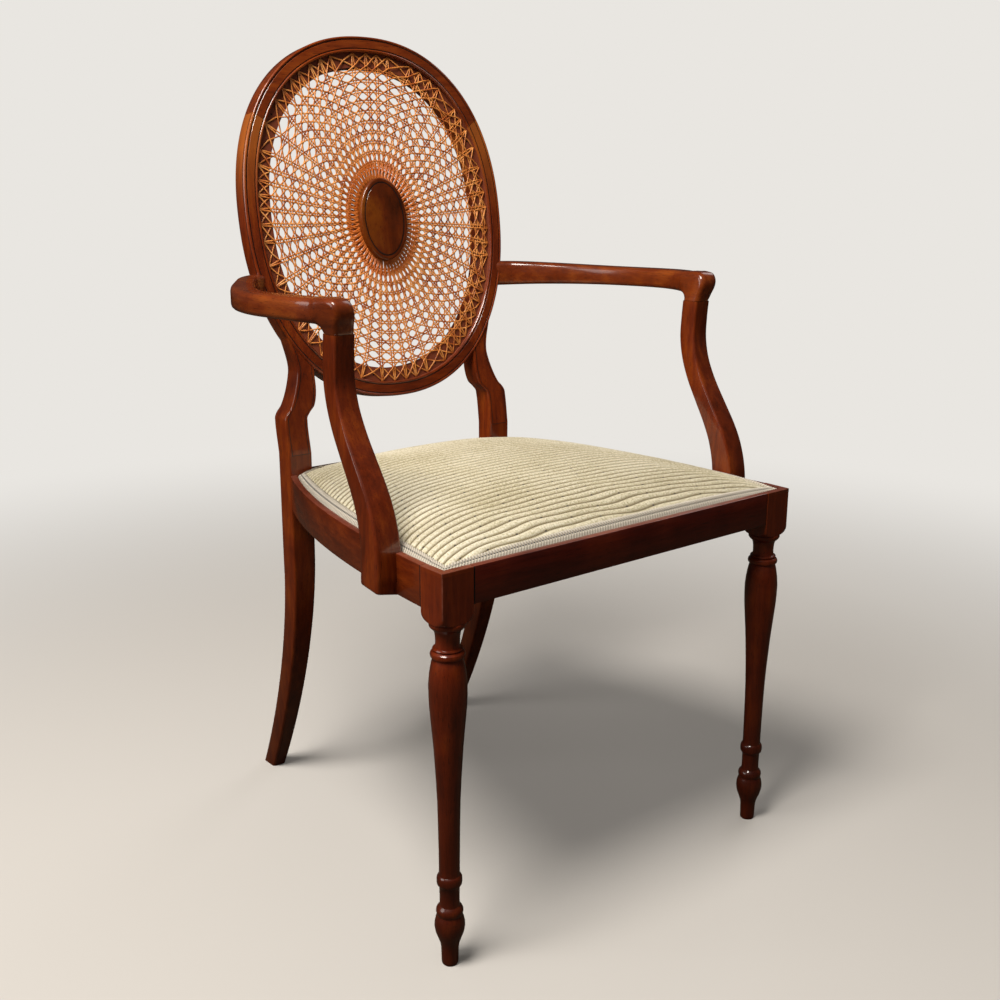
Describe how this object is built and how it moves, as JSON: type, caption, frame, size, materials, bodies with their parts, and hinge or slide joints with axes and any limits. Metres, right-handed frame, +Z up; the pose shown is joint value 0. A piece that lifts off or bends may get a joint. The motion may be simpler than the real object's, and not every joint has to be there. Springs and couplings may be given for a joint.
{
  "type": "cane back elbow chair",
  "caption": "Elbow chair with an oval caned back, shaped open arms on swept supports, turned front legs, sabre rear legs and an upholstered seat.",
  "frame": {"origin": "on the floor, under the middle of the whole chair", "axes": "+Z up; the chair faces -Y; +X to the right as seen from the front"},
  "size_m": [0.5624, 0.5246, 0.9161],
  "materials": {
    "mahogany": "french polished",
    "dark_mahogany": "french polished",
    "beech": "unfinished",
    "cane": "natural split cane",
    "corded_fabric": "corded weave",
    "gimp": "braided",
    "jute": "plain weave",
    "stuffing": "hair and wadding",
    "brass_screw": "slotted countersunk"
  },
  "bodies": {
    "root": {"arm_dowel_left": "beech", "arm_dowel_right": "beech", "arm_left": "mahogany", "arm_right": "mahogany", "arm_root_dowel_left": "beech", "arm_root_dowel_right": "beech", "arm_support_left": "mahogany", "arm_support_right": "mahogany", "boss_back": "dark_mahogany", "boss_front": "dark_mahogany", "cane_panel": "cane", "corner_block_front_left": "beech", "corner_block_front_right": "beech", "corner_block_rear_left": "beech", "corner_block_rear_right": "beech", "crest_dowel_left": "beech", "crest_dowel_right": "beech", "crest_rail": "dark_mahogany", "front_block_screw_left": "brass_screw", "front_block_screw_right": "brass_screw", "front_leg_left": "mahogany", "front_leg_right": "mahogany", "front_rail": "dark_mahogany", "gimp_braid": "gimp", "hessian": "jute", "lower_back_rail": "mahogany", "lower_rail_dowel_left": "beech", "lower_rail_dowel_right": "beech", "rear_block_screw_left": "brass_screw", "rear_block_screw_right": "brass_screw", "rear_post_left": "mahogany", "rear_post_right": "mahogany", "rear_rail": "mahogany", "rear_side_screw_left": "brass_screw", "rear_side_screw_right": "brass_screw", "seat_cover": "corded_fabric", "seat_stuffing": "stuffing", "side_block_screw_left": "brass_screw", "side_block_screw_right": "brass_screw", "side_rail_left": "mahogany", "side_rail_right": "mahogany", "support_screw_lower_left": "brass_screw", "support_screw_lower_right": "brass_screw", "support_screw_upper_left": "brass_screw", "support_screw_upper_right": "brass_screw", "webbing_across_front": "jute", "webbing_across_middle": "jute", "webbing_across_rear": "jute", "webbing_along_left": "jute", "webbing_along_middle": "jute", "webbing_along_right": "jute"}
  },
  "joints": []
}
